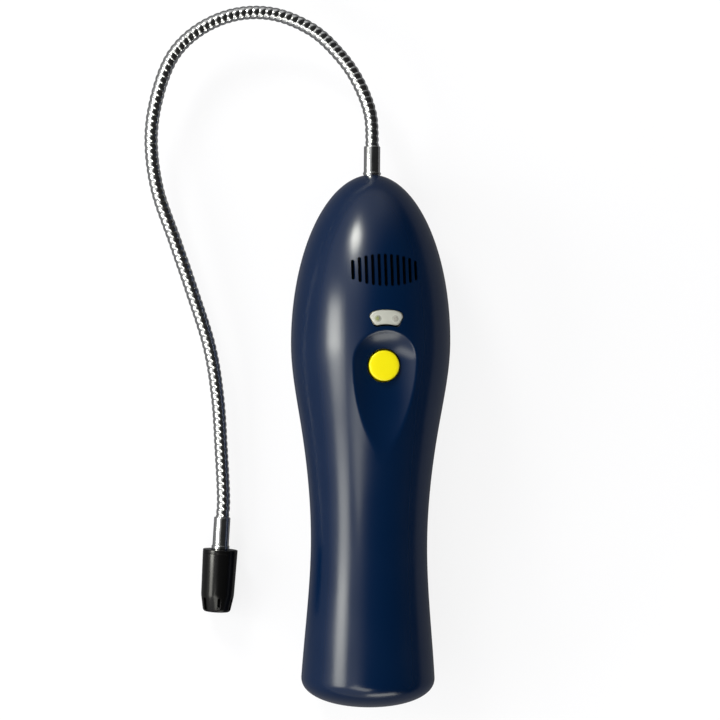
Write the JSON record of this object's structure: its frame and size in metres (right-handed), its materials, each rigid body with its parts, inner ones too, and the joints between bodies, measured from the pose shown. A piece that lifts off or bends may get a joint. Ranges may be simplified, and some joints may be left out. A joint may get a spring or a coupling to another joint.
{
  "type": "refrigerant leak detector",
  "caption": "Handheld refrigerant leak detector: waisted navy housing, thumb button in a scoop, indicator window, sounder grille and a bendable metal probe with a black sensor tip.",
  "frame": {"origin": "on the flat back face that it lies on, under the widest ring of the head", "axes": "+Z out of the front, +Y along the body towards the nose"},
  "size_m": [0.1178, 0.2681, 0.0516],
  "materials": {
    "housing": "moulded satin ABS, navy blue",
    "screw_steel": "zinc-plated steel",
    "button": "moulded yellow plastic",
    "switch": "moulded black plastic",
    "lens": "clear moulded acrylic",
    "status_lamp": "tinted clear epoxy",
    "alarm_lamp": "tinted clear epoxy",
    "spacer": "white nylon",
    "board": "glass-fibre board with green mask",
    "components": "black moulded packages",
    "connector": "cream nylon",
    "cell": "plain sleeve on a steel can",
    "contact": "nickel-plated spring steel",
    "lead_red": "red insulation",
    "lead_black": "black insulation",
    "ferrule": "bright plated brass",
    "neck": "bright plated wound steel",
    "guard": "black moulded nylon",
    "sensor": "steel sensor can"
  },
  "bodies": {
    "handle": {"front_shell": "housing", "rear_shell": "housing", "housing_screws": "screw_steel", "board_screws": "screw_steel", "switch_body": "switch", "indicator_window": "lens", "status_led": "status_lamp", "alarm_led": "alarm_lamp", "led_spacer": "spacer", "main_board": "board", "sounder": "components", "control_chip": "components", "filter_capacitors": "components", "sensor_connector": "connector", "battery_1": "cell", "battery_2": "cell", "battery_3": "cell", "battery_4": "cell", "base_contact": "contact", "head_contact_positive": "contact", "head_contact_negative": "contact", "battery_spring_left": "contact", "battery_spring_right": "contact", "battery_lead_positive": "lead_red", "battery_lead_negative": "lead_black", "sensor_lead": "lead_black", "neck_ferrule": "ferrule", "neck_1": "neck"},
    "button": {"button_cap": "button", "switch_plunger": "switch"},
    "battery_door": {"battery_door": "housing"},
    "neck_link_2": {"neck_2": "neck"},
    "neck_link_3": {"neck_3": "neck"},
    "neck_link_4": {"neck_4": "neck"},
    "neck_link_5": {"neck_5": "neck"},
    "neck_link_6": {"neck_6": "neck"},
    "probe_tip": {"neck_7": "neck", "tip_ferrule": "ferrule", "sensor_socket": "guard", "sensor_element": "sensor"},
    "tip_guard": {"tip_guard": "guard"}
  },
  "joints": [
    {"name": "button_press", "type": "slide", "parent": "handle", "child": "button", "axis": [0, 0, -1], "range_m": [0, 0.001], "stiffness_N_per_m": 1500},
    {"name": "battery_door_hinge", "type": "hinge", "parent": "handle", "child": "battery_door", "pos_m": [0, -0.119, 0], "axis": [-1, 0, 0], "range_deg": [0, 60]},
    {"name": "neck_lift", "type": "hinge", "parent": "handle", "child": "neck_link_2", "pos_m": [-0.01131, 0.10851, 0.02022], "axis": [0.7654, 0.6435, 0], "range_deg": [0, 40]},
    {"name": "neck_bend_1", "type": "hinge", "parent": "neck_link_2", "child": "neck_link_3", "pos_m": [-0.05034, 0.12521, 0.01821], "axis": [0, 0, -1], "range_deg": [0, 35]},
    {"name": "neck_bend_2", "type": "hinge", "parent": "neck_link_3", "child": "neck_link_4", "pos_m": [-0.08139, 0.09692, 0.01547], "axis": [0, 0, -1], "range_deg": [0, 35]},
    {"name": "neck_bend_3", "type": "hinge", "parent": "neck_link_4", "child": "neck_link_5", "pos_m": [-0.08052, 0.05309, 0.01248], "axis": [0, 0, -1], "range_deg": [0, 35]},
    {"name": "neck_bend_4", "type": "hinge", "parent": "neck_link_5", "child": "neck_link_6", "pos_m": [-0.06522, 0.01122, 0.00974], "axis": [0, 0, -1], "range_deg": [-5, 30]},
    {"name": "neck_bend_5", "type": "hinge", "parent": "neck_link_6", "child": "probe_tip", "pos_m": [-0.05644, -0.03231, 0.00773], "axis": [0, 0, -1], "range_deg": [-6, 30]},
    {"name": "guard_pull", "type": "slide", "parent": "probe_tip", "child": "tip_guard", "axis": [-0.0546, -0.9985, 0], "range_m": [0, 0.03]}
  ]
}
